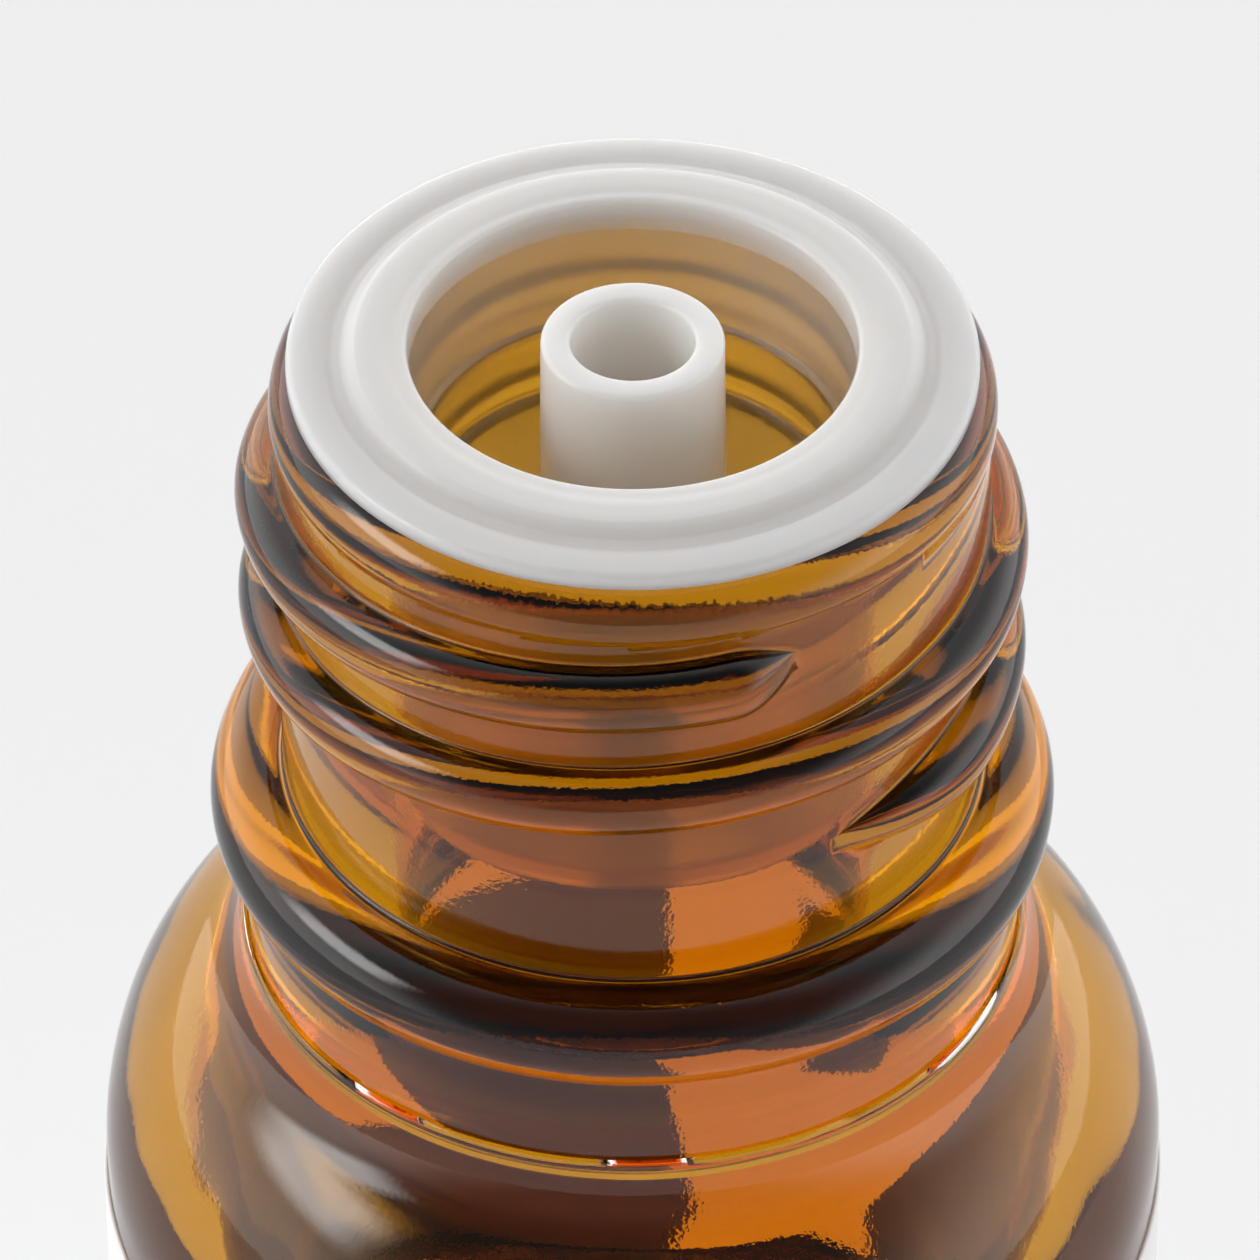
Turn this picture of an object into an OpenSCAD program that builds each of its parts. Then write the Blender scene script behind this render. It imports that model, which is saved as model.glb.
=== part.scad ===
// Dropper bottle for essential oil: a moulded glass bottle with an 18 mm screw
// finish, a pressed-in dropper insert, a plain wraparound label and its oil.
// Millimetres, +Z up, origin at the middle of the base, front towards -Y.

/* [Glass body] */
// Outside diameter of the body
body_d = 25; // [22:0.5:34]
// Height of the straight wall, base to shoulder
body_h = 34.9; // [22:0.5:60]
// Thickness of the side wall
wall = 2.1; // [1.2:0.1:2.6]
// Thickness of the glass above the middle of the base
base_t = 2.6; // [1.6:0.1:5]
// Outside radius where wall and base meet
heel_r = 2.2; // [0.8:0.1:3]
// Radius inside, where wall and floor meet
inner_heel_r = 2.4; // [1:0.1:4]
// Rise of the hollow under the base
punt_h = 1.1; // [0.4:0.1:2]
// Width of the flat ring that the bottle stands on
bearing_w = 1.4; // [0.6:0.1:3]

/* [Shoulder] */
// Radius of the shoulder's outside curve
shoulder_r = 6.8; // [5:0.1:8]
// Radius of the hollow where shoulder meets neck
neck_fillet = 2.6; // [1:0.1:3.4]
// Radius of the rounded edge inside, where bore meets shoulder
bore_mouth_r = 3.2; // [1:0.1:4]

/* [Neck and thread] */
// Height of the finish, from the lip down to the middle of the transfer bead
finish_h = 12.35; // [11.5:0.05:16]
// Outside diameter of the neck under the bead
neck_d = 18; // [17:0.1:19]
// Outside diameter of the wall between the thread's turns
root_d = 16.1; // [15.5:0.1:16.5]
// Diameter of the bore
bore_d = 11; // [10:0.1:11.6]
// Height from the straight wall's top to the middle of the bead
bead_rise = 10.75; // [9.6:0.05:14]
// Outside diameter of the transfer bead
bead_d = 19.46; // [18.6:0.02:21]
// Radius of the bead's round section
bead_r = 1.2; // [0.9:0.05:1.3]
// Outside diameter across the thread's crests
thread_d = 17.9; // [17.2:0.1:18.4]
// Rise of the thread in one turn
thread_pitch = 3; // [2.6:0.1:3.4]
// Turns of the thread
thread_turns = 1.98; // [1.5:0.02:2.1]
// Width of the thread at its foot
thread_w = 1.7; // [1.4:0.1:2]
// How far round the neck the thread takes to rise at its upper end, in degrees
thread_fade_in = 12; // [8:1:40]
// How far round the neck it takes to fade at its lower end, in degrees
thread_fade_out = 30; // [8:1:60]
// Depth from the lip to the thread's upper end
thread_start = 2.43; // [2.2:0.01:3]
// Place of the thread's upper end around the neck
thread_angle = 296.6; // [0:0.2:360]

/* [Lip] */
// Outside radius of the lip's rounded edge
lip_edge_r = 1; // [0.5:0.1:1.2]
// Radius of the bore's rounded edge at the lip
bore_edge_r = 0.3; // [0.1:0.05:0.6]
// How far the lip's ring stands out from the wall between the turns
lip_step = 0.1; // [0.05:0.05:0.2]
// Depth of the lip's ring below the lip
lip_depth = 1.3; // [1.25:0.05:1.4]

/* [Dropper insert] */
// Radial clearance between the insert's ribs and the bore
plug_clearance = 0.03; // [0.02:0.01:0.08]
// Gap between flange and lip
seat_gap = 0.02; // [0.01:0.01:0.05]
// Diameter of the flange
flange_d = 15.46; // [14.4:0.02:15.9]
// Thickness of the flange at its rim
flange_t = 0.42; // [0.3:0.02:0.8]
// Rounding of the flange's upper edge
flange_edge_r = 0.18; // [0.05:0.01:0.25]
// Diameter inside the flange's flat rim
rim_d = 14.66; // [13.9:0.02:14.8]
// Outside diameter of the raised ring on the flange
ring_d = 12.44; // [11.8:0.02:12.8]
// Height of the raised ring above the flange's rim
ring_h = 0.26; // [0.1:0.02:0.5]
// Width of the slope at the raised ring's foot
ring_slope_w = 0.28; // [0.1:0.02:0.4]
// Diameter of the middle of the fine groove in the flange
groove_d = 13.6; // [13.5:0.02:13.8]
// Width of the fine groove
groove_w = 0.26; // [0.1:0.02:0.4]
// Depth of the fine groove
groove_depth = 0.05; // [0.02:0.01:0.12]
// Diameter of the recess at its mouth
recess_d = 10.06; // [9.4:0.02:10.2]
// Rounding of the recess's mouth
recess_edge_r = 0.12; // [0.05:0.01:0.2]
// Depth of the recess below the raised ring
recess_depth = 5; // [4:0.1:6]
// Depth of the small ledge in the recess's wall
ledge_depth = 3.2; // [2.4:0.1:3.6]
// Width of the ledge
ledge_w = 0.2; // [0.1:0.05:0.3]
// How far the recess narrows above the ledge
recess_taper = 0.1; // [0:0.05:0.2]
// Thickness of the recess's floor
floor_t = 0.8; // [0.5:0.1:1.4]
// Depth of the plug in the bore
plug_depth = 10.2; // [9:0.1:10.6]
// Height of each sealing rib on the plug
rib_h = 0.9; // [0.5:0.1:1.2]
// How far the ribs stand out of the plug
rib_step = 0.17; // [0.05:0.01:0.2]
// Depth of each rib below the lip
rib_depths = [1.6, 4.2];
// Length of the tapered lead-in at the plug's foot
lead_in = 0.9; // [0.4:0.1:1.2]

/* [Spout and vent] */
// Outside diameter of the spout tube
spout_d = 4.11; // [3.6:0.01:4.6]
// Bore of the spout tube
spout_bore = 2.78; // [2:0.02:3]
// How far the spout stands above the raised ring
spout_rise = 0.06; // [0:0.02:1]
// Rounding of the spout's edges
spout_edge_r = 0.12; // [0.04:0.01:0.2]
// Diameter of the drip hole in the floor
drip_d = 1; // [0.6:0.1:1.6]
// Length of the cone from spout bore to drip hole
drip_cone_h = 0.9; // [0.4:0.1:1.4]
// Distance of the air vent from the axis
vent_offset = 3.2; // [3.1:0.05:3.3]
// Bore of the air vent
vent_bore = 0.7; // [0.4:0.05:0.8]
// Outside diameter of the vent tube under the floor
vent_d = 1.7; // [1.4:0.1:2]
// Length of the vent tube under the floor
vent_len = 6; // [3:0.5:9]

/* [Label] */
// Thickness of the label
label_t = 0.12; // [0.08:0.01:0.2]
// Height of the label's lower edge
label_base = 4.4; // [3.4:0.1:8]
// Gap between the label's top edge and the end of the straight wall
label_top_gap = 1; // [0.4:0.1:4]
// Width of the open seam between the label's ends
label_seam = 5.6; // [0.6:0.1:12]
// Place of the seam around the body
label_seam_angle = 71.5; // [0:0.5:360]

/* [Oil] */
// Height of the oil's surface
oil_level = 21; // [8:0.5:31]
// Gap drawn between oil and glass
oil_gap = 0.04; // [0.02:0.01:0.08]
// Width of the curved edge where oil climbs the glass
meniscus_w = 1.6; // [0.8:0.1:2.4]
// Height of that curved edge
meniscus_h = 0.9; // [0.3:0.1:1.4]

/* [Hidden] */
$fn = 96;

body_r = body_d / 2;
inner_r = body_r - wall;
neck_r = neck_d / 2;
root_r = root_d / 2;
bore_r = bore_d / 2;
bead_z = body_h + bead_rise;
glass_h = bead_z + finish_h;
lip_r = root_r + lip_step;
plug_r = bore_r - plug_clearance;
flange_z = glass_h + seat_gap;
rim_z = flange_z + flange_t;
ring_z = rim_z + ring_h;
floor_z = ring_z - recess_depth;
spout_z = ring_z + spout_rise;
overlap = 0.4;       // how deep joined shapes reach into each other
arc_n = 10;          // segments in a rounded corner

// Points of an arc round [cx, cz] from angle a0 to angle a1
function arc(cx, cz, r, a0, a1, n = arc_n) =
    [for (i = [0:n]) let (a = a0 + (a1 - a0) * i / n) [cx + r * cos(a), cz + r * sin(a)]];

// Height, above the shoulder's centre, of the centre of a fillet of radius f that
// touches both a wall at radius w and a shoulder of radius r centred at radius c
function fillet_rise(c, r, w, f) = sqrt(pow(r + f, 2) - pow(w + f - c, 2));

// A shoulder curve that leaves a wall at radius big and runs into a neck of radius small
function shoulder(big, r, small, f, z) =
    let (c = big - r, rise = fillet_rise(c, r, small, f), a = atan2(rise, small + f - c))
    concat(arc(c, z, r, 0, a, 14), arc(small + f, z + rise, f, 180 + a, 180));

// The hollow under the base, from its middle out to the bearing ring
function punt() =
    let (edge = body_r - heel_r - bearing_w,
         r = (edge * edge + punt_h * punt_h) / (2 * punt_h))
    arc(0, punt_h - r, r, 90, acos(edge / r), 6);

// The bead between the neck below it and the thread's wall above it
function bead() =
    let (c = bead_d / 2 - bead_r)
    arc(c, bead_z, bead_r, -acos((neck_r - c) / bead_r), 180 - acos((c - root_r) / bead_r), 16);

// Outline of the cavity from the lip down, each point moved inwards by gap
function cavity(gap = 0) =
    let (r = inner_r - gap, s = shoulder_r - wall - gap, b = bore_r - gap,
         h = inner_heel_r - gap, up = shoulder(r, s, b, bore_mouth_r + gap, body_h))
    concat([for (i = [len(up) - 1:-1:0]) up[i]],
        arc(r - h, base_t + gap + h, h, 0, -90), [[0, base_t + gap]]);

// Half of the bottle's wall, from the base up the outside and down the inside
module glass_section() {
    polygon(concat(
        punt(),
        arc(body_r - heel_r, heel_r, heel_r, -90, 0),
        shoulder(body_r, shoulder_r, neck_r, neck_fillet, body_h),
        bead(),
        [[root_r, glass_h - lip_depth]],
        arc(lip_r - lip_edge_r, glass_h - lip_edge_r, lip_edge_r, 0, 90),
        arc(bore_r + bore_edge_r, glass_h - bore_edge_r, bore_edge_r, 90, 180, 5),
        cavity()
    ));
}

// The screw thread: a half-round ridge swept up a right-hand helix, fading at both ends
module thread() {
    steps = round(thread_turns * 44);
    across = 8;
    sweep = thread_turns * 360;
    top = glass_h - thread_start;
    inside = root_r - overlap;
    foot = root_r - overlap / 4;
    height = thread_d / 2 - foot;
    // Share of the full height at angle a below the upper end
    function share(a) = sin(90 * min(1, a / thread_fade_in, (sweep - a) / thread_fade_out));
    function section(s) = concat(
        [[inside, -thread_w / 2]],
        [for (j = [0:across]) let (t = 180 * j / across - 90)
            [foot + height * s * cos(t), sin(t) * thread_w / 2]],
        [[inside, thread_w / 2]]);
    m = across + 3;
    points = [for (i = [0:steps]) let (a = sweep * i / steps)
        for (p = section(share(a)))
            [p[0] * cos(thread_angle - a), p[0] * sin(thread_angle - a),
             top - thread_pitch * a / 360 + p[1]]];
    sides = [for (i = [0:steps - 1], j = [0:m - 1]) let (k = (j + 1) % m)
        [i * m + j, (i + 1) * m + j, (i + 1) * m + k, i * m + k]];
    split = [for (q = sides) each [[q[0], q[1], q[2]], [q[0], q[2], q[3]]]];
    first = [for (j = [0:m - 1]) j];
    last = [for (j = [m - 1:-1:0]) steps * m + j];
    polyhedron(points, concat(split, [first, last]), convexity = 6);
}

module glass_bottle() {
    color([0.72, 0.42, 0.06]) union() {
        rotate_extrude() glass_section();
        thread();
    }
}

// Half of the insert's flange, plug and floor, with the spout's wall
module insert_section() {
    skirt_r = plug_r - rib_step;
    foot_z = glass_h - plug_depth;
    mouth_r = recess_d / 2;
    ledge_z = ring_z - ledge_depth;
    ledge_r = mouth_r - recess_taper;
    well_r = ledge_r - ledge_w;
    spout_r = spout_d / 2;
    hole_r = spout_bore / 2;
    groove_r = groove_d / 2;
    polygon(concat(
        // drip hole up through the floor and out along the spout's bore
        [[drip_d / 2, floor_z - floor_t], [drip_d / 2, floor_z],
         [hole_r, floor_z + drip_cone_h]],
        arc(hole_r + spout_edge_r, spout_z - spout_edge_r, spout_edge_r, 180, 90, 5),
        arc(spout_r - spout_edge_r, spout_z - spout_edge_r, spout_edge_r, 90, 0, 5),
        // recess
        [[spout_r, floor_z], [well_r, floor_z], [well_r, ledge_z], [ledge_r, ledge_z]],
        arc(mouth_r + recess_edge_r, ring_z - recess_edge_r, recess_edge_r, 180, 90, 5),
        // raised ring, groove, rim
        [[ring_d / 2, ring_z], [ring_d / 2 + ring_slope_w, rim_z]],
        [[groove_r - groove_w / 2, rim_z], [groove_r, rim_z - groove_depth],
         [groove_r + groove_w / 2, rim_z], [rim_d / 2, rim_z + groove_depth / 2]],
        arc(flange_d / 2 - flange_edge_r, rim_z - flange_edge_r, flange_edge_r, 90, 0, 6),
        [[flange_d / 2, flange_z], [skirt_r, flange_z]],
        // sealing ribs
        [for (d = rib_depths) each rib(skirt_r, glass_h - d)],
        // lead-in and the hollow under the floor
        [[skirt_r, foot_z + lead_in], [skirt_r - lead_in / 3, foot_z],
         [well_r, foot_z], [well_r, floor_z - floor_t]]
    ));
}

// Points of one sealing rib, from its upper to its lower foot
function rib(r, z) = let (n = 6)
    [for (i = [0:n]) let (t = 1 - 2 * i / n) [r + rib_step * cos(90 * t), z + t * rib_h / 2]];

module dropper_insert() {
    vent_z = floor_z - floor_t - vent_len;
    color([0.93, 0.92, 0.9]) difference() {
        union() {
            rotate_extrude() insert_section();
            translate([0, -vent_offset, vent_z]) cylinder(d = vent_d, h = vent_len + floor_t / 2, $fn = 48);
        }
        translate([0, -vent_offset, vent_z - overlap])
            cylinder(d = vent_bore, h = vent_len + floor_t + 2 * overlap, $fn = 48);
    }
}

module label() {
    seam = 2 * asin(label_seam / body_d);
    color([0.96, 0.96, 0.95]) rotate([0, 0, label_seam_angle + seam / 2])
        rotate_extrude(angle = 360 - seam)
            translate([body_r, label_base])
                square([label_t, body_h - label_top_gap - label_base]);
}

// The oil fills the cavity up to its level and climbs the glass a little
module essential_oil() {
    edge_r = inner_r - oil_gap;
    color([0.85, 0.66, 0.2]) rotate_extrude() difference() {
        polygon(concat([[0, body_h], [edge_r, body_h]],
            arc(edge_r - inner_heel_r, base_t + oil_gap + inner_heel_r, inner_heel_r, 0, -90),
            [[0, base_t + oil_gap]]));
        polygon(concat([[-overlap, body_h + overlap], [-overlap, oil_level]],
            [for (i = [0:arc_n]) let (t = i / arc_n)
                [edge_r - meniscus_w * (1 - t), oil_level + meniscus_h * t * t]],
            [[edge_r + overlap, oil_level + meniscus_h], [edge_r + overlap, body_h + overlap]]));
    }
}

glass_bottle();
dropper_insert();
label();
essential_oil();
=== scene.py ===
"""Looks of a small amber glass dropper bottle: glass, insert, label, oil and studio.

Sizes are millimetres in the bottle's own frame, +Z up, with the front towards -Y.
Meshes are made in metres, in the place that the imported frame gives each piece.
"""

from __future__ import annotations

import logging
import math
import random
from dataclasses import dataclass
from enum import Enum
from typing import Callable, Sequence

import bpy
import numpy as np
from mathutils import Matrix

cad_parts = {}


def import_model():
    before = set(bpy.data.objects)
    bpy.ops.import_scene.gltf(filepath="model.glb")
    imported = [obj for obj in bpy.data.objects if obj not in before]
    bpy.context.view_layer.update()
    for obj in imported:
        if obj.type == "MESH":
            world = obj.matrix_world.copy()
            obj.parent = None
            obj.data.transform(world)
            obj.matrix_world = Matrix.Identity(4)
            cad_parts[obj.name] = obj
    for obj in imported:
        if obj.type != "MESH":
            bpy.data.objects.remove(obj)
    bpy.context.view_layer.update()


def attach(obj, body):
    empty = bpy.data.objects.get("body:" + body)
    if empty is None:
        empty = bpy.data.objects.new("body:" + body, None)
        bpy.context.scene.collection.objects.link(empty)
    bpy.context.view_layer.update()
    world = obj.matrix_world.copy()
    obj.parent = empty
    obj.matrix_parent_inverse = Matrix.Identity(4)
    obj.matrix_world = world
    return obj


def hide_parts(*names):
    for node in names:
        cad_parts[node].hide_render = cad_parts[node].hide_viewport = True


LOG = logging.getLogger("dropper_bottle")
MM = 0.001

Point = tuple[float, float]
Triple = tuple[float, float, float]
Colour = tuple[float, float, float, float]


# ---------------------------------------------------------------- node helpers


def linear(code: str) -> Colour:
    """Turn an sRGB hex colour into linear light.

    Args:
        code: Six hex digits, such as "c08030".

    Returns:
        The linear red, green, blue and an alpha of one.
    """
    parts = [int(code[i : i + 2], 16) / 255 for i in (0, 2, 4)]
    low = [p / 12.92 if p <= 0.04045 else ((p + 0.055) / 1.055) ** 2.4 for p in parts]
    return (low[0], low[1], low[2], 1.0)


def add(tree: bpy.types.NodeTree, kind: str, links: dict | None = None, **settings) -> bpy.types.Node:
    """Add a node with its settings and links.

    Args:
        tree: The node tree that takes the node.
        kind: The node's type, such as "ShaderNodeMath".
        links: Input name or number to the output socket that feeds it, or to a plain value.
        settings: Attributes of the node itself.

    Returns:
        The new node.
    """
    made = tree.nodes.new(kind)
    for name, value in settings.items():
        setattr(made, name, value)
    for name, value in (links or {}).items():
        socket = made.inputs[name]
        if isinstance(value, bpy.types.NodeSocket):
            tree.links.new(value, socket)
        else:
            socket.default_value = value
    return made


def blank_material(name: str) -> tuple[bpy.types.Material, bpy.types.NodeTree, bpy.types.Node]:
    """Make a material that holds only its output.

    Args:
        name: The material's name.

    Returns:
        The material, its node tree and its output node.
    """
    material = bpy.data.materials.new(name)
    material.use_nodes = True
    tree = material.node_tree
    tree.nodes.clear()
    return material, tree, add(tree, "ShaderNodeOutputMaterial")


def grain(tree: bpy.types.NodeTree, size: float, depth: float, detail: float = 1.0) -> bpy.types.NodeSocket:
    """A fine unevenness of the surface.

    Args:
        tree: The material's node tree.
        size: Size of one bump in millimetres.
        depth: Height of the bumps in millimetres.
        detail: Number of finer layers of noise.

    Returns:
        The socket of the bumped normal.
    """
    place = add(tree, "ShaderNodeTexCoord")
    noise = add(tree, "ShaderNodeTexNoise", {
        "Vector": place.outputs["Object"], "Scale": 1 / (size * MM), "Detail": detail,
    })
    bump = add(tree, "ShaderNodeBump", {
        "Height": noise.outputs["Fac"], "Distance": depth * MM, "Strength": 1.0,
    })
    return bump.outputs["Normal"]


# ---------------------------------------------------------------- mesh helpers


def arc(cx: float, cz: float, r: float, start: float, stop: float, count: int = 12) -> list[Point]:
    """Points along an arc.

    Args:
        cx: Radius from the axis to the arc's centre.
        cz: Height of the arc's centre.
        r: The arc's own radius.
        start: First angle in degrees.
        stop: Last angle in degrees.
        count: Number of segments.

    Returns:
        The points, both ends included.
    """
    turns = [math.radians(start + (stop - start) * i / count) for i in range(count + 1)]
    return [(cx + r * math.cos(t), cz + r * math.sin(t)) for t in turns]


def ogee(big: float, r: float, small: float, hollow: float, z: float, count: int = 12) -> list[Point]:
    """A round edge that leaves one radius and runs through a hollow into a smaller one.

    Args:
        big: Radius from the axis where the curve starts.
        r: Radius of the round edge.
        small: Radius from the axis where the curve ends.
        hollow: Radius of the hollow.
        z: Height of the start.
        count: Number of segments in the round edge.

    Returns:
        The points, upwards from the start.
    """
    c = big - r
    rise = math.sqrt((r + hollow) ** 2 - (small + hollow - c) ** 2)
    tilt = math.degrees(math.atan2(rise, small + hollow - c))
    few = max(3, count // 3)
    return arc(c, z, r, 0, tilt, count) + arc(small + hollow, z + rise, hollow, 180 + tilt, 180, few)[1:]


def turned_over(points: Sequence[Point], z: float) -> list[Point]:
    """Mirror an outline about a height, and reverse it so that it still runs upwards."""
    return [(r, 2 * z - h) for r, h in reversed(points)]


def refine(points: Sequence[Point], step: float) -> list[Point]:
    """Cut the long segments of an outline so that none is over one step.

    Args:
        points: The outline.
        step: Longest segment allowed.

    Returns:
        The outline with points added.
    """
    out = [points[0]]
    for (r0, z0), (r1, z1) in zip(points, points[1:]):
        parts = max(1, math.ceil(math.hypot(r1 - r0, z1 - z0) / step))
        out += [(r0 + (r1 - r0) * i / parts, z0 + (z1 - z0) * i / parts) for i in range(1, parts + 1)]
    return out


class Waviness:
    """A gentle unevenness: a sum of seeded sine waves through space."""

    def __init__(self, seed: int, wavelength: float, height: float, waves: int = 12) -> None:
        """Draw the waves.

        Args:
            seed: Seed of the draw.
            wavelength: Middle wavelength in millimetres.
            height: Largest usual height in millimetres.
            waves: Number of waves that are added.
        """
        rng = random.Random(seed)
        self.height = height / math.sqrt(waves)
        self.waves = []
        for _ in range(waves):
            away = np.array([rng.gauss(0, 1) for _ in range(3)])
            number = 2 * math.pi / (wavelength * rng.uniform(0.7, 1.5))
            self.waves.append((away / np.linalg.norm(away) * number, rng.uniform(0, 2 * math.pi)))

    def at(self, places: np.ndarray) -> np.ndarray:
        """Height of the unevenness at each place, in millimetres."""
        return self.height * sum(np.sin(places @ away + phase) for away, phase in self.waves)


class Lathe:
    """A skin made of rings round the axis, each stitched to the one before it."""

    def __init__(self, columns: int) -> None:
        """Start an empty skin.

        Args:
            columns: Number of points in each ring.
        """
        self.columns = columns
        self.turn = np.linspace(0, 2 * math.pi, columns, endpoint=False)
        self.places: list[np.ndarray] = []
        self.faces: list[list[int]] = []
        self.marks: list[int] = []
        self.count = 0
        self.last: np.ndarray | None = None

    def put(self, radius: np.ndarray | float, height: np.ndarray | float) -> np.ndarray:
        """Add one ring of points without stitching it.

        Args:
            radius: Radius of the ring, or of each of its points.
            height: Height of the ring, or of each of its points.

        Returns:
            The numbers of the new points.
        """
        radius, height = np.broadcast_to(radius, self.columns), np.broadcast_to(height, self.columns)
        across, along = radius * np.cos(self.turn), radius * np.sin(self.turn)
        self.places.append(np.stack([across, along, height], axis=-1))
        self.count += self.columns
        return np.arange(self.count - self.columns, self.count)

    def stitch(self, low: np.ndarray, high: np.ndarray) -> None:
        """Join two rings with quads."""
        self.faces += np.stack([low, np.roll(low, -1), np.roll(high, -1), high], axis=-1).tolist()

    def ring(self, radius: float, height: float) -> None:
        """Add a ring and stitch it to the last one."""
        new = self.put(radius, height)
        if self.last is not None:
            self.stitch(self.last, new)
        self.last = new

    def rings(self, outline: Sequence[Point]) -> None:
        """Add a ring for each point of an outline."""
        for radius, height in outline:
            self.ring(radius, height)

    def pole(self, height: float) -> None:
        """Close the skin on the axis, at its start or at its end."""
        self.places.append(np.array([[0.0, 0.0, height]]))
        tip = self.count
        self.count += 1
        if self.last is None:
            self.marks.append(tip)
            return
        self.faces += [[tip, a, b] for a, b in zip(self.last.tolist(), np.roll(self.last, -1).tolist())]

    def open_from_pole(self, radius: float, height: float) -> None:
        """Start the rings round a pole that is already there."""
        self.last = self.put(radius, height)
        tip = self.marks[-1]
        self.faces += [[tip, b, a] for a, b in zip(self.last.tolist(), np.roll(self.last, -1).tolist())]

    def close(self) -> None:
        """Stitch the last ring to the first one."""
        self.stitch(self.last, np.arange(self.columns))

    def make(self, name: str, *materials: bpy.types.Material) -> bpy.types.Object:
        """Turn the skin into a piece.

        Args:
            name: The piece's name.
            materials: The piece's materials.

        Returns:
            The linked object.
        """
        return build(name, np.vstack(self.places), self.faces, *materials)


def build(name: str, verts: np.ndarray, faces: list, *materials: bpy.types.Material) -> bpy.types.Object:
    """Make a smooth-shaded object from points in millimetres, without the unused points.

    Args:
        name: The piece's name.
        verts: Points, one row each.
        faces: Faces as lists of point numbers.
        materials: Materials of the piece.

    Returns:
        The linked object.
    """
    used = sorted({point for face in faces for point in face})
    number = {point: place for place, point in enumerate(used)}
    faces = [[number[point] for point in face] for face in faces]
    mesh = bpy.data.meshes.new(name)
    mesh.from_pydata((verts[used] * MM).tolist(), [], faces)
    mesh.polygons.foreach_set("use_smooth", [True] * len(mesh.polygons))
    for material in materials:
        mesh.materials.append(material)
    mesh.validate()
    mesh.update()
    piece = bpy.data.objects.new(name, mesh)
    bpy.context.collection.objects.link(piece)
    return piece


def ruffle(piece: bpy.types.Object, height: Callable[[np.ndarray], np.ndarray]) -> None:
    """Move every point of a piece along its normal.

    Args:
        piece: The piece.
        height: Takes the places of the points in millimetres and returns how far each moves.
    """
    mesh = piece.data
    places = np.empty(3 * len(mesh.vertices))
    normals = np.empty(3 * len(mesh.vertices))
    mesh.vertices.foreach_get("co", places)
    mesh.vertex_normals.foreach_get("vector", normals)
    places, normals = places.reshape(-1, 3), normals.reshape(-1, 3)
    places += normals * (height(places / MM) * MM)[:, None]
    mesh.vertices.foreach_set("co", places.ravel())
    mesh.update()


def belong(piece: bpy.types.Object, body: str, node: str) -> None:
    """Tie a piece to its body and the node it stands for.

    Args:
        piece: The piece.
        body: The CAD body that it rides on.
        node: The CAD node that it replaces.
    """
    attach(piece, body)
    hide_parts(node)
    LOG.info("%s: %d faces, rides on %s", piece.name, len(piece.data.polygons), body)


# ------------------------------------------------------------------- finishes


@dataclass(frozen=True)
class AmberGlass:
    """Soda-lime container glass, coloured amber in the melt and blown in a mould.

    Fire-polished, with an orange peel from the mould that breaks up the edges of
    its reflections; the brown deepens with the depth of glass.
    """

    tint: str = "ffc23f"
    ior: float = 1.52
    # Light that is left after one millimetre, red, green and blue
    left_after_mm: Triple = (0.928, 0.897, 0.62)
    roughness: float = 0.02
    peel_size: float = 0.11
    peel_depth: float = 0.0016

    def material(self) -> bpy.types.Material:
        """Moulded amber glass."""
        made, tree, out = blank_material("amber_soda_lime_glass_moulded")
        skin = add(tree, "ShaderNodeBsdfPrincipled", {
            "Base Color": linear(self.tint), "Transmission Weight": 1.0, "IOR": self.ior,
            "Roughness": self.roughness, "Normal": grain(tree, self.peel_size, self.peel_depth),
        })
        tree.links.new(skin.outputs[0], out.inputs["Surface"])
        absorb(tree, out, self.left_after_mm)
        return made


def absorb(tree: bpy.types.NodeTree, out: bpy.types.Node, left_after_mm: Triple) -> None:
    """Colour the inside of a clear material by the depth of it that light crosses.

    Args:
        tree: The material's node tree.
        out: Its output node.
        left_after_mm: Light that is left after one millimetre, red, green and blue.
    """
    density = max(-math.log(c) for c in left_after_mm) / MM
    tint = [1 + math.log(c) / MM / density for c in left_after_mm]
    depth = add(tree, "ShaderNodeVolumeAbsorption", {"Color": (*tint, 1.0), "Density": density})
    tree.links.new(depth.outputs[0], out.inputs["Volume"])


class Gauge(Enum):
    """How thick a part of the insert is, which sets how milky it looks.

    The value is the share of light that the plastic scatters; the rest goes through.
    """

    THICK = 0.84
    TUBE = 0.90
    WALL = 0.36
    THIN = 0.06


@dataclass(frozen=True)
class NaturalPolyethylene:
    """Uncoloured low-density polyethylene, injection moulded.

    Milky and slightly warm where it is thick, and clearer where it is thin, with a
    soft satin shine from the polished mould.
    """

    tone: str = "fcf8f2"
    ior: float = 1.51
    roughness: float = 0.24
    # The recess's wall and the plug are duller than the flange
    core_roughness: float = 0.32
    # Mean way of light inside, in millimetres
    reach: float = 1.5

    def material(self, gauge: Gauge) -> bpy.types.Material:
        """Translucent natural LDPE.

        Args:
            gauge: Thickness of the part that the material is for.

        Returns:
            The material.
        """
        made, tree, out = blank_material(f"natural_ldpe_moulded_{gauge.name.lower()}")
        roughness = self.core_roughness if gauge in (Gauge.WALL, Gauge.THIN) else self.roughness
        skin = add(tree, "ShaderNodeBsdfPrincipled", {
            "Base Color": linear(self.tone), "IOR": self.ior, "Roughness": roughness,
            "Transmission Weight": 1 - gauge.value, "Subsurface Weight": 1.0,
            "Subsurface Radius": (1.0, 0.92, 0.82), "Subsurface Scale": self.reach * MM,
        })
        tree.links.new(skin.outputs[0], out.inputs["Surface"])
        return made


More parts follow.
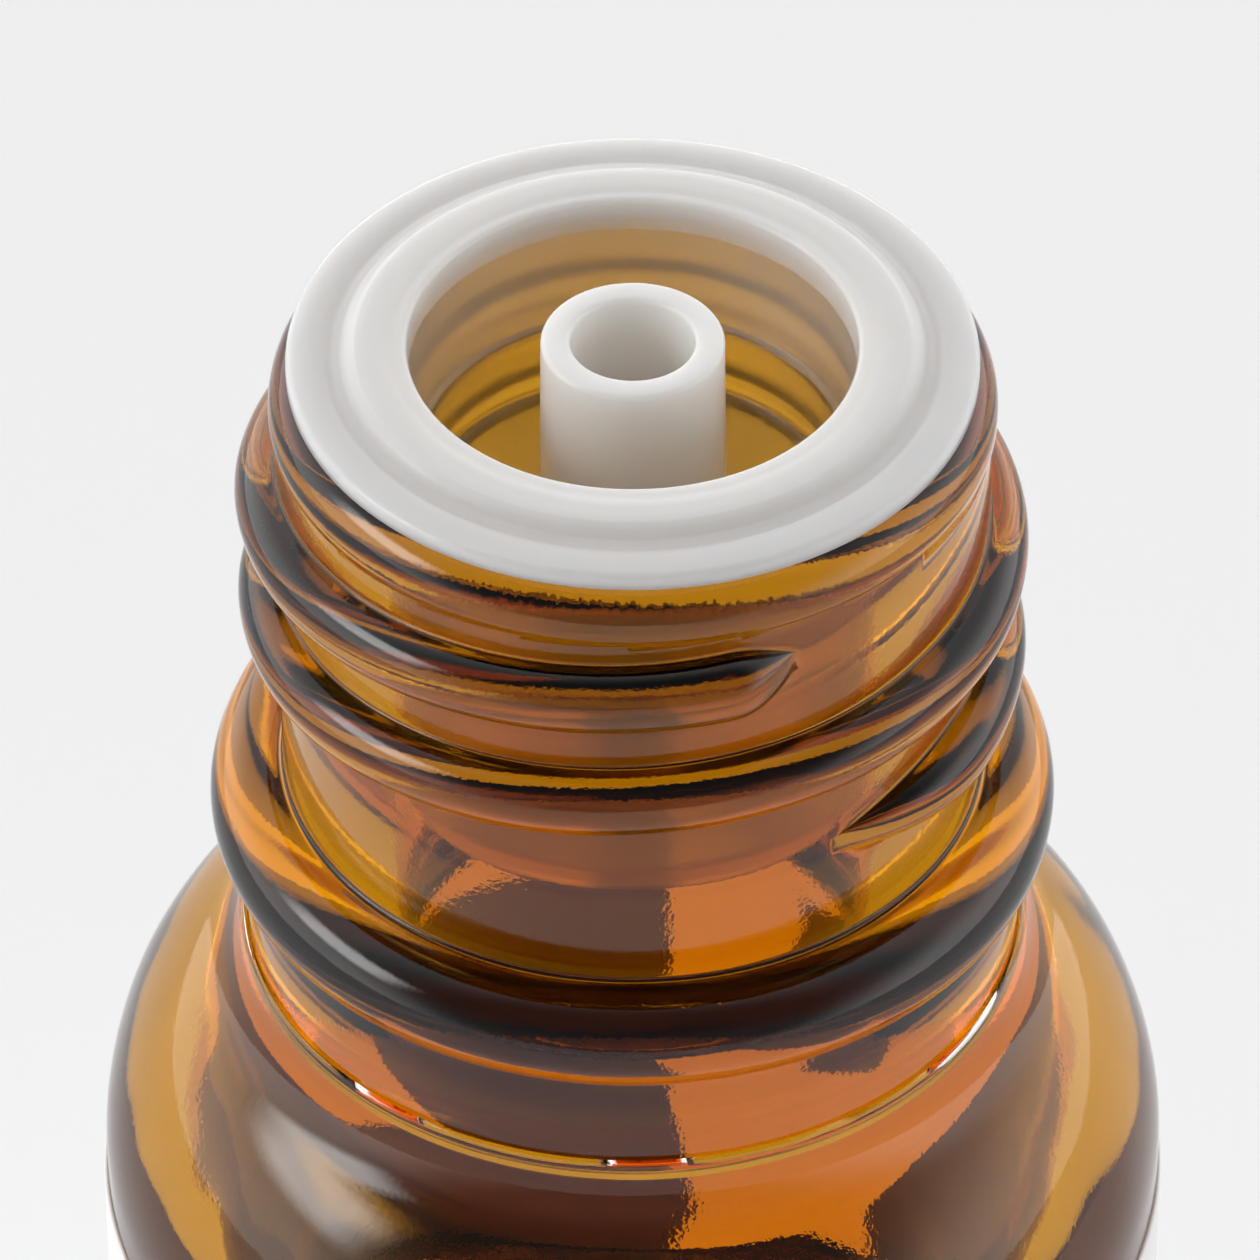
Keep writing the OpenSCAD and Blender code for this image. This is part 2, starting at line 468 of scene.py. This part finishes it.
@dataclass(frozen=True)
class CoatedPaper:
    """Plain white label paper with a satin coat over fine fibres."""

    tone: str = "f2f1ef"
    roughness: float = 0.42
    fibre: float = 0.18
    fibre_depth: float = 0.004

    def material(self) -> bpy.types.Material:
        """Satin coated label paper."""
        made, tree, out = blank_material("label_paper_satin_coated")
        skin = add(tree, "ShaderNodeBsdfPrincipled", {
            "Base Color": linear(self.tone), "Roughness": self.roughness,
            "Normal": grain(tree, self.fibre, self.fibre_depth, 3.0),
        })
        tree.links.new(skin.outputs[0], out.inputs["Surface"])
        return made


@dataclass(frozen=True)
class CarrierOil:
    """Clear pale yellow oil."""

    ior: float = 1.47
    left_after_mm: Triple = (0.998, 0.99, 0.95)

    def material(self) -> bpy.types.Material:
        """Clear oil."""
        made, tree, out = blank_material("carrier_oil_clear")
        skin = add(tree, "ShaderNodeBsdfPrincipled", {
            "Base Color": linear("ffffff"), "Transmission Weight": 1.0,
            "IOR": self.ior, "Roughness": 0.0,
        })
        tree.links.new(skin.outputs[0], out.inputs["Surface"])
        absorb(tree, out, self.left_after_mm)
        return made


# --------------------------------------------------------------------- bottle


@dataclass
class GlassBottle:
    """The blown bottle: body, shoulder, transfer bead, screw thread and lip."""

    body_r: float = 12.5
    body_h: float = 34.9
    wall: float = 2.1
    base_t: float = 2.6
    heel_r: float = 2.2
    inner_heel_r: float = 2.4
    punt_h: float = 1.1
    bearing_w: float = 1.4
    shoulder_r: float = 6.8
    neck_fillet: float = 2.6
    bore_mouth_r: float = 3.2
    neck_r: float = 9.0
    root_r: float = 8.05
    bore_r: float = 5.5
    bead_rise: float = 10.75
    bead_r_out: float = 9.73
    bead_r: float = 1.2
    bead_hollow: float = 0.12
    finish_h: float = 12.35
    crest_r: float = 8.95
    pitch: float = 3.0
    turns: float = 1.98
    ridge_r: float = 0.82
    ridge_hollow: float = 0.09
    thread_start: float = 2.43
    thread_angle: float = 296.6
    fade_in: float = 12.0
    fade_out: float = 30.0
    lip_edge_r: float = 1.0
    bore_edge_r: float = 0.3
    lip_step: float = 0.1
    lip_depth: float = 1.3
    # Line round the neck where the neck ring and the body mould meet
    parting_depth: float = 16.37
    parting_step: float = 0.06
    parting_w: float = 0.05
    # Below this height the outside is true, so that the bottle stands flat
    true_foot_h: float = 1.2
    # Seed, wavelength and height of the waves, outside and inside
    mould_wave: tuple[int, float, float] = (3, 4.5, 0.010)
    blown_waves: tuple[tuple[int, float, float], ...] = ((11, 7.0, 0.09), (12, 2.6, 0.012))
    # Height that the inside takes to come true under the bore
    true_bore_h: float = 3
    # Share of its width that the ridge keeps where it fades to nothing
    thread_end_w: float = 0.3
    columns: int = 400
    step: float = 0.5

    @property
    def glass_h(self) -> float:
        """Height of the lip."""
        return self.body_h + self.bead_rise + self.finish_h

    @property
    def inner_r(self) -> float:
        """Radius of the cavity in the body."""
        return self.body_r - self.wall

    def cavity(self, gap: float = 0.0) -> list[Point]:
        """The cavity's section from its floor up to the bore.

        Args:
            gap: How far each point moves into the cavity.

        Returns:
            The points, from the axis outwards and up.
        """
        r, edge = self.inner_r - gap, self.inner_heel_r - gap
        floor = self.base_t + gap
        points = [(0.0, floor)] + arc(r - edge, floor + edge, edge, -90, 0, 14)
        return points + ogee(r, self.shoulder_r - self.wall - gap, self.bore_r - gap,
                             self.bore_mouth_r + gap, self.body_h, 40)

    def below_thread(self) -> list[Point]:
        """The outside from the middle of the base up to the wall under the thread."""
        edge = self.body_r - self.heel_r - self.bearing_w
        dome = (edge**2 + self.punt_h**2) / (2 * self.punt_h)
        bead_z = self.body_h + self.bead_rise
        parting = self.glass_h - self.parting_depth
        points = arc(0, self.punt_h - dome, dome, 90, math.degrees(math.acos(edge / dome)), 24)
        points += arc(self.body_r - self.heel_r, self.heel_r, self.heel_r, -90, 0, 14)
        low = self.neck_r + self.parting_step
        points += ogee(self.body_r, self.shoulder_r, low, self.neck_fillet, self.body_h, 44)
        points += [(low, parting - self.parting_w), (self.neck_r, parting)]
        under_bead = ogee(self.bead_r_out, self.bead_r, self.neck_r, self.bead_hollow, bead_z, 20)
        points += turned_over(under_bead, bead_z)
        points += ogee(self.bead_r_out, self.bead_r, self.root_r, self.bead_hollow, bead_z, 32)[1:]
        return points

    def lip(self) -> list[Point]:
        """The lip, from its ring over the top to the bore."""
        top, lip_r = self.glass_h, self.root_r + self.lip_step
        return (
            [(self.root_r, top - self.lip_depth), (lip_r, top - self.lip_depth + self.lip_step)]
            + arc(lip_r - self.lip_edge_r, top - self.lip_edge_r, self.lip_edge_r, 0, 90, 16)
            + arc(self.bore_r + self.bore_edge_r, top - self.bore_edge_r, self.bore_edge_r, 90, 180, 8)
        )

    def ridge(self) -> list[Point]:
        """One pitch of the threaded wall: height from the ridge's middle, and how far it stands out."""
        half = ogee(self.crest_r, self.ridge_r, self.root_r, self.ridge_hollow, 0.0, 12)
        foot = half[-1][1]
        flat = (self.pitch / 2 - foot) / 4
        half = half + [(self.root_r, foot + flat * (i + 1)) for i in range(4)]
        below = [(-h, r - self.root_r) for r, h in reversed(half[1:-1])]
        return below + [(h, r - self.root_r) for r, h in half]

    def share(self, way: np.ndarray) -> np.ndarray:
        """Share of the ridge's full height at an angle along the thread from its upper end.

        Args:
            way: Angles in degrees.

        Returns:
            The shares, nought outside the thread.
        """
        ends = np.minimum(way / self.fade_in, (self.turns * 360 - way) / self.fade_out)
        return np.sin(np.radians(90 * np.clip(ends, 0, 1)))

    def threaded_wall(self, lathe: Lathe) -> None:
        """Lay the wall between bead and lip in rows that follow the helix.

        Args:
            lathe: The skin, whose last ring is the wall's lower end.
        """
        low_ring, low = lathe.last, float(lathe.places[-1][0, 2])
        high = self.glass_h - self.lip_depth
        high_ring = lathe.put(self.root_r, high)
        way = (self.thread_angle - np.degrees(lathe.turn)) % 360
        fall = self.pitch * way / 360
        top = self.glass_h - self.thread_start
        rows = []
        section = self.ridge()
        for turn in range(5, -3, -1):
            share = self.share(way + 360 * turn)
            narrow = self.thread_end_w + (1 - self.thread_end_w) * share
            for off, rise in section:
                shift = off * narrow if rise > 0 else off
                height = top - self.pitch * turn + shift - fall
                points = lathe.put(self.root_r + rise * share, height)
                points = np.where(height <= low, low_ring, points)
                rows.append(np.where(height >= high, high_ring, points))
        rows = np.array(rows)
        per_turn = len(section)
        wraps = way < 360 / lathe.columns
        for j in range(lathe.columns):
            shift = per_turn if wraps[j] else 0
            near = rows[:, j]
            far = rows[np.clip(np.arange(len(rows)) + shift, 0, len(rows) - 1), (j + 1) % lathe.columns]
            for face in np.stack([near[:-1], far[:-1], far[1:], near[1:]], axis=-1).tolist():
                corners = list(dict.fromkeys(face))
                if len(corners) > 2:
                    lathe.faces.append(corners)
        lathe.last = high_ring

    def unevenness(self, places: np.ndarray) -> np.ndarray:
        """How far the blown glass departs from its mould.

        The outside follows the mould closely; the inside, which no mould touches, is
        wavier. The bore under the insert and the foot that the bottle stands on are true.

        Args:
            places: Points in millimetres.

        Returns:
            How far each point moves along its normal.
        """
        radius, height = np.hypot(places[:, 0], places[:, 1]), places[:, 2]
        outside = Waviness(*self.mould_wave).at(places) * np.clip(height / self.true_foot_h - 1, 0, 1)
        inside = sum(Waviness(*wave).at(places) for wave in self.blown_waves)
        shoulder = self.shoulder_r - self.wall / 2
        over = np.clip(height - self.body_h, 0, shoulder)
        middle = self.body_r - self.wall / 2 - shoulder + np.sqrt(shoulder**2 - over**2)
        middle = np.where(height > self.body_h + shoulder * 0.8, (self.bore_r + self.root_r) / 2, middle)
        within = (radius < middle) & (height > self.base_t * 0.7)
        true_bore = np.clip((self.body_h + self.shoulder_r * 0.75 - height) / self.true_bore_h, 0, 1)
        return np.where(within, inside * true_bore, outside)

    def make(self, finish: AmberGlass) -> bpy.types.Object:
        """Build the bottle and put it in the place of its node.

        Args:
            finish: The glass.

        Returns:
            The piece.
        """
        lathe = Lathe(self.columns)
        outside = refine(self.below_thread(), self.step)
        lathe.pole(self.punt_h)
        lathe.open_from_pole(*outside[1])
        lathe.rings(outside[2:])
        self.threaded_wall(lathe)
        inside = refine(self.cavity(), self.step)[::-1]
        lathe.rings(refine(self.lip()[1:] + inside[:1], self.step))
        lathe.rings(inside[1:-1])
        lathe.pole(self.base_t)
        piece = lathe.make("amber_bottle", finish.material())
        ruffle(piece, self.unevenness)
        belong(piece, "bottle", "glass_bottle")
        return piece


# --------------------------------------------------------------------- insert


@dataclass
class DropperInsert:
    """The pressed-in insert: flange, recess, plug and spout, one moulding."""

    bottle: GlassBottle
    plug_clearance: float = 0.03
    seat_gap: float = 0.02
    flange_r: float = 7.73
    flange_t: float = 0.42
    flange_edge_r: float = 0.18
    rim_r: float = 7.33
    ring_r: float = 6.22
    ring_h: float = 0.26
    ring_slope_w: float = 0.28
    groove_r: float = 6.8
    groove_w: float = 0.26
    groove_depth: float = 0.05
    recess_r: float = 5.03
    mouth_round: float = 0.12
    crease_r: float = 5.45
    crease_w: float = 0.08
    crease_depth: float = 0.03
    recess_depth: float = 5.0
    ledge_depth: float = 3.2
    ledge_w: float = 0.2
    ledge_bevel: float = 0.04
    floor_corner: float = 0.15
    recess_taper: float = 0.1
    collar_depth: float = 0.75
    floor_t: float = 0.8
    plug_depth: float = 10.2
    rib_h: float = 0.9
    rib_step: float = 0.17
    rib_depths: tuple[float, ...] = (1.6, 4.2)
    lead_in: float = 0.9
    spout_r: float = 2.055
    spout_bore_r: float = 1.39
    spout_rise: float = 0.06
    spout_edge_r: float = 0.12
    spout_foot_w: float = 0.2
    drip_r: float = 0.5
    drip_cone_h: float = 0.9
    vent_offset: float = 3.2
    vent_bore_r: float = 0.35
    vent_r: float = 0.85
    vent_len: float = 6.0

    @property
    def rim_z(self) -> float:
        """Height of the flange's flat rim."""
        return self.bottle.glass_h + self.seat_gap + self.flange_t

    @property
    def ring_z(self) -> float:
        """Height of the raised ring."""
        return self.rim_z + self.ring_h

    @property
    def floor_z(self) -> float:
        """Height of the recess's floor."""
        return self.ring_z - self.recess_depth

    def spout(self) -> list[Point]:
        """The drip hole, the spout's bore and its outside, down to the floor."""
        z, edge = self.ring_z + self.spout_rise, self.spout_edge_r
        return (
            [(self.drip_r, self.floor_z - self.floor_t), (self.drip_r, self.floor_z),
             (self.spout_bore_r, self.floor_z + self.drip_cone_h)]
            + arc(self.spout_bore_r + edge, z - edge, edge, 180, 90, 6)
            + arc(self.spout_r - edge, z - edge, edge, 90, 0, 6)
            + [(self.spout_r + 0.05, self.floor_z + 0.12)]
        )

    def recess(self) -> list[Point]:
        """The recess from its floor up to the raised ring."""
        ledge_z, ledge_r = self.ring_z - self.ledge_depth, self.recess_r - self.recess_taper
        well_r = ledge_r - self.ledge_w
        round_r, corner, bevel = self.mouth_round, self.floor_corner, self.ledge_bevel
        return (
            [(self.spout_r + self.spout_foot_w, self.floor_z), (well_r - corner, self.floor_z),
             (well_r, self.floor_z + corner), (well_r, ledge_z - bevel), (well_r + bevel, ledge_z),
             (ledge_r - bevel, ledge_z), (ledge_r, ledge_z + bevel)]
            + arc(self.recess_r + round_r, self.ring_z - round_r, round_r, 180, 90, 10)
            + [(self.crease_r - self.crease_w / 2, self.ring_z - self.crease_depth),
               (self.crease_r + self.crease_w / 2, self.ring_z)]
        )

    def flange(self) -> list[Point]:
        """The flange from the raised ring out over the rim to its underside."""
        rim, groove, edge = self.rim_z, self.groove_r, self.flange_edge_r
        return (
            [(self.ring_r - 0.06, self.ring_z), (self.ring_r, self.ring_z - 0.02),
             (self.ring_r + self.ring_slope_w, rim + 0.02), (self.ring_r + self.ring_slope_w + 0.06, rim),
             (groove - self.groove_w / 2, rim), (groove, rim - self.groove_depth),
             (groove + self.groove_w / 2, rim), (self.rim_r, rim + self.groove_depth / 2)]
            + arc(self.flange_r - edge, rim - edge, edge, 90, 0, 7)
            + [(self.flange_r, self.rim_z - self.flange_t + 0.03),
               (self.flange_r - 0.03, self.rim_z - self.flange_t)]
        )

    def plug(self) -> list[Point]:
        """The plug's outside with its ribs, down and in to the floor's underside."""
        top = self.bottle.glass_h
        skirt = self.bottle.bore_r - self.plug_clearance - self.rib_step
        foot = top - self.plug_depth
        well_r = self.recess_r - self.recess_taper - self.ledge_w
        ribs = []
        for depth in self.rib_depths:
            for i in range(9):
                t = 1 - i / 4
                out = self.rib_step * math.cos(math.pi / 2 * t)
                ribs.append((skirt + out, top - depth + t * self.rib_h / 2))
        return (
            [(skirt, self.rim_z - self.flange_t)] + ribs
            + [(skirt, foot + self.lead_in), (skirt - self.lead_in / 3, foot), (well_r, foot),
               (well_r, self.floor_z - self.floor_t)]
        )

    def vent(self, materials: Sequence[bpy.types.Material]) -> bpy.types.Object:
        """The air vent's tube under the floor."""
        lathe = Lathe(48)
        top, foot = self.floor_z - self.floor_t + 0.01, self.floor_z - self.floor_t - self.vent_len
        edge = 0.08
        lathe.rings(refine(
            [(self.vent_bore_r, top), (self.vent_bore_r, foot + edge), (self.vent_bore_r + edge, foot),
             (self.vent_r - edge, foot), (self.vent_r, foot + edge), (self.vent_r, top)], self.bottle.step))
        lathe.close()
        tube = lathe.make("vent", *materials)
        tube.data.transform(Matrix.Translation((0, -self.vent_offset * MM, 0)))
        return tube

    def make(self, finish: NaturalPolyethylene) -> bpy.types.Object:
        """Build the insert and put it in the place of its node.

        Args:
            finish: The plastic.

        Returns:
            The piece.
        """
        lathe = Lathe(256)
        outline = refine(self.spout() + self.recess() + self.flange() + self.plug(), 0.25)
        lathe.rings(outline[::-1])
        lathe.close()
        kinds = list(Gauge)
        materials = [finish.material(kind) for kind in kinds]
        piece = lathe.make("ldpe_insert", *materials)
        collar = self.ring_z - self.collar_depth
        ledge = self.ring_z - self.ledge_depth
        for face in piece.data.polygons:
            radius, height = math.hypot(*face.center[:2]) / MM, face.center[2] / MM
            if radius < self.spout_r + 0.1:
                kind = Gauge.TUBE
            elif height > collar:
                kind = Gauge.THICK
            else:
                kind = Gauge.WALL if height > ledge else Gauge.THIN
            face.material_index = kinds.index(kind)
        tube = self.vent([materials[kinds.index(Gauge.WALL)]])
        belong(piece, "insert", "dropper_insert")
        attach(tube, "insert")
        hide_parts("dropper_insert")
        return piece


# ------------------------------------------------------------- label and oil


@dataclass
class Label:
    """A plain paper label round the body, with a gap between its ends."""

    bottle: GlassBottle
    thick: float = 0.12
    base: float = 4.4
    top_gap: float = 1.0
    gap_w: float = 5.6
    gap_angle: float = 71.5
    # How far the glued face lies inside the glass, so that no air is between them
    glue: float = 0.03
    columns: int = 240

    def make(self, finish: CoatedPaper) -> bpy.types.Object:
        """Build the label and put it in the place of its node.

        Args:
            finish: The paper.

        Returns:
            The piece.
        """
        r, top = self.bottle.body_r - self.glue, self.bottle.body_h - self.top_gap
        half = math.asin(self.gap_w / 2 / self.bottle.body_r)
        start = math.radians(self.gap_angle) + half
        turn = np.linspace(start, start + 2 * (math.pi - half), self.columns + 1)
        edge = 0.03
        outer = r + self.thick
        section = [(r, self.base), (outer - edge, self.base), (outer, self.base + edge)]
        section += [(outer, self.base + edge + (top - self.base - 2 * edge) * i / 24) for i in range(1, 25)]
        section += [(outer - edge, top), (r, top)]
        verts = np.array([[q * math.cos(t), q * math.sin(t), z] for t in turn for q, z in section])
        m = len(section)
        faces = [[i * m + j, (i + 1) * m + j, (i + 1) * m + (j + 1) % m, i * m + (j + 1) % m]
                 for i in range(self.columns) for j in range(m)]
        faces += [list(range(m)), [self.columns * m + j for j in reversed(range(m))]]
        piece = build("label_sheet", verts, faces, finish.material())
        piece.data.polygons.foreach_set("use_smooth", [True] * (len(faces) - 2) + [False, False])
        belong(piece, "bottle", "label")
        return piece


@dataclass
class Oil:
    """The oil in the bottle, which climbs the glass a little."""

    bottle: GlassBottle
    level: float = 21.0
    # The oil wets the glass, so its skin lies a hair inside the wall
    gap: float = -0.02
    meniscus_w: float = 1.6
    meniscus_h: float = 0.9

    def make(self, finish: CarrierOil) -> bpy.types.Object:
        """Build the oil and put it in the place of its node.

        Args:
            finish: The oil's look.

        Returns:
            The piece.
        """
        edge = self.bottle.inner_r - self.gap
        wall = [p for p in self.bottle.cavity(self.gap) if p[1] < self.level]
        climb = [(edge - self.meniscus_w * (1 - t), self.level + self.meniscus_h * t * t)
                 for t in (1 - i / 12 for i in range(13))]
        outline = refine(wall + climb, 1.0)
        lathe = Lathe(128)
        lathe.pole(outline[0][1])
        lathe.open_from_pole(*outline[1])
        lathe.rings(outline[2:])
        lathe.pole(self.level)
        piece = lathe.make("oil_fill", finish.material())
        belong(piece, "bottle", "essential_oil")
        return piece


# --------------------------------------------------------------------- studio


@dataclass
class Studio:
    """A pale floor, soft light all round, one softbox and the camera."""

    pitch: float = 40.974
    distance: float = 227.793
    target: Triple = (-0.06, 0.0, 50.192)
    focal: float = 285.714
    sensor: float = 36.0
    # Light from the sides near the horizon, from above and from the camera's side
    low_light: float = 2.0
    top_light: float = 0.9
    front_light: float = 0.14
    # Middle of the dim part on the camera's side
    front_way: Triple = (0.0, -0.80, 0.60)
    # Cosines between which the light changes, upwards and towards that middle
    height_band: Point = (0.2, 0.75)
    front_band: Point = (0.25, 0.80)
    # Direction, size and strength of the softbox
    box_way: Triple = (-0.84, -0.09, 0.53)
    box_half: Point = (0.27, 0.15)
    box_light: float = 5.5
    # Where the softbox begins and ends to fade, as shares of its half size
    box_fade: Point = (0.5, 1.5)
    floor_tone: str = "fcfcfd"
    floor_half: float = 1500.0
    floor_roughness: float = 0.9

    def camera(self) -> None:
        """Place the camera."""
        data = bpy.data.cameras.new("camera")
        data.lens = self.focal
        data.sensor_width = self.sensor
        data.clip_start = 0.01
        camera = bpy.data.objects.new("camera", data)
        p = math.radians(self.pitch)
        x, y, z = self.target
        back, up = self.distance * math.cos(p), self.distance * math.sin(p)
        camera.location = (x * MM, (y - back) * MM, (z + up) * MM)
        camera.rotation_euler = (math.pi / 2 - p, 0, 0)
        bpy.context.collection.objects.link(camera)
        bpy.context.scene.camera = camera

    def world(self) -> None:
        """Light all round: bright low at the sides, dim above and dark where the camera stands."""
        world = bpy.data.worlds.new("studio")
        bpy.context.scene.world = world
        world.use_nodes = True
        tree = world.node_tree
        tree.nodes.clear()
        way = add(tree, "ShaderNodeTexCoord").outputs["Generated"]

        def along(direction: Sequence[float]) -> bpy.types.NodeSocket:
            """Cosine of the angle to a direction."""
            return add(tree, "ShaderNodeVectorMath", {0: way, 1: tuple(direction)},
                       operation="DOT_PRODUCT").outputs["Value"]

        def ramp(value: bpy.types.NodeSocket, start: float, stop: float,
                 low: float, high: float) -> bpy.types.NodeSocket:
            """A smooth step between two levels."""
            return add(tree, "ShaderNodeMapRange", {
                "Value": value, "From Min": start, "From Max": stop, "To Min": low, "To Max": high,
            }, interpolation_type="SMOOTHSTEP").outputs[0]

        def maths(operation: str, a, b) -> bpy.types.NodeSocket:
            """One sum of two values."""
            return add(tree, "ShaderNodeMath", {0: a, 1: b}, operation=operation).outputs[0]

        height = ramp(along((0, 0, 1)), *self.height_band, self.low_light, self.top_light)
        front = ramp(along(self.front_way), *self.front_band, 1.0, self.front_light)
        level = maths("MULTIPLY", height, front)
        centre = np.array(self.box_way) / np.linalg.norm(self.box_way)
        side = np.cross((0, 0, 1), centre)
        side /= np.linalg.norm(side)
        up = np.cross(centre, side)
        depth = maths("MAXIMUM", along(centre), 0.001)
        mask = ramp(along(centre), 0.0, 0.1, 0.0, 1.0)
        begin, end = self.box_fade
        for axis, half in ((side, self.box_half[0]), (up, self.box_half[1])):
            off = maths("ABSOLUTE", maths("DIVIDE", along(axis), depth), 0.0)
            mask = maths("MULTIPLY", mask, ramp(off, half * begin, half * end, 1.0, 0.0))
        level = maths("ADD", level, maths("MULTIPLY", mask, self.box_light))
        sky = add(tree, "ShaderNodeBackground", {"Color": linear("ffffff"), "Strength": level})
        out = add(tree, "ShaderNodeOutputWorld")
        tree.links.new(sky.outputs[0], out.inputs["Surface"])

    def floor(self) -> None:
        """A large pale floor."""
        made, tree, out = blank_material("matt_white_board")
        skin = add(tree, "ShaderNodeBsdfPrincipled", {
            "Base Color": linear(self.floor_tone), "Roughness": self.floor_roughness,
        })
        tree.links.new(skin.outputs[0], out.inputs["Surface"])
        half = self.floor_half
        corners = np.array([[-half, -half, 0], [half, -half, 0], [half, half, 0], [-half, half, 0]])
        build("floor", corners, [[0, 1, 2, 3]], made)

    def set_up(self) -> None:
        """Build the studio."""
        self.camera()
        self.world()
        self.floor()
        bpy.context.scene.view_settings.view_transform = "Standard"


def main() -> None:
    """Load the frame, build and dress every piece, and set up the studio."""
    logging.basicConfig(level=logging.INFO, format="%(message)s")
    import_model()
    bottle = GlassBottle()
    bottle.make(AmberGlass())
    DropperInsert(bottle).make(NaturalPolyethylene())
    Label(bottle).make(CoatedPaper())
    Oil(bottle).make(CarrierOil())
    Studio().set_up()


if __name__ == "__main__":
    main()
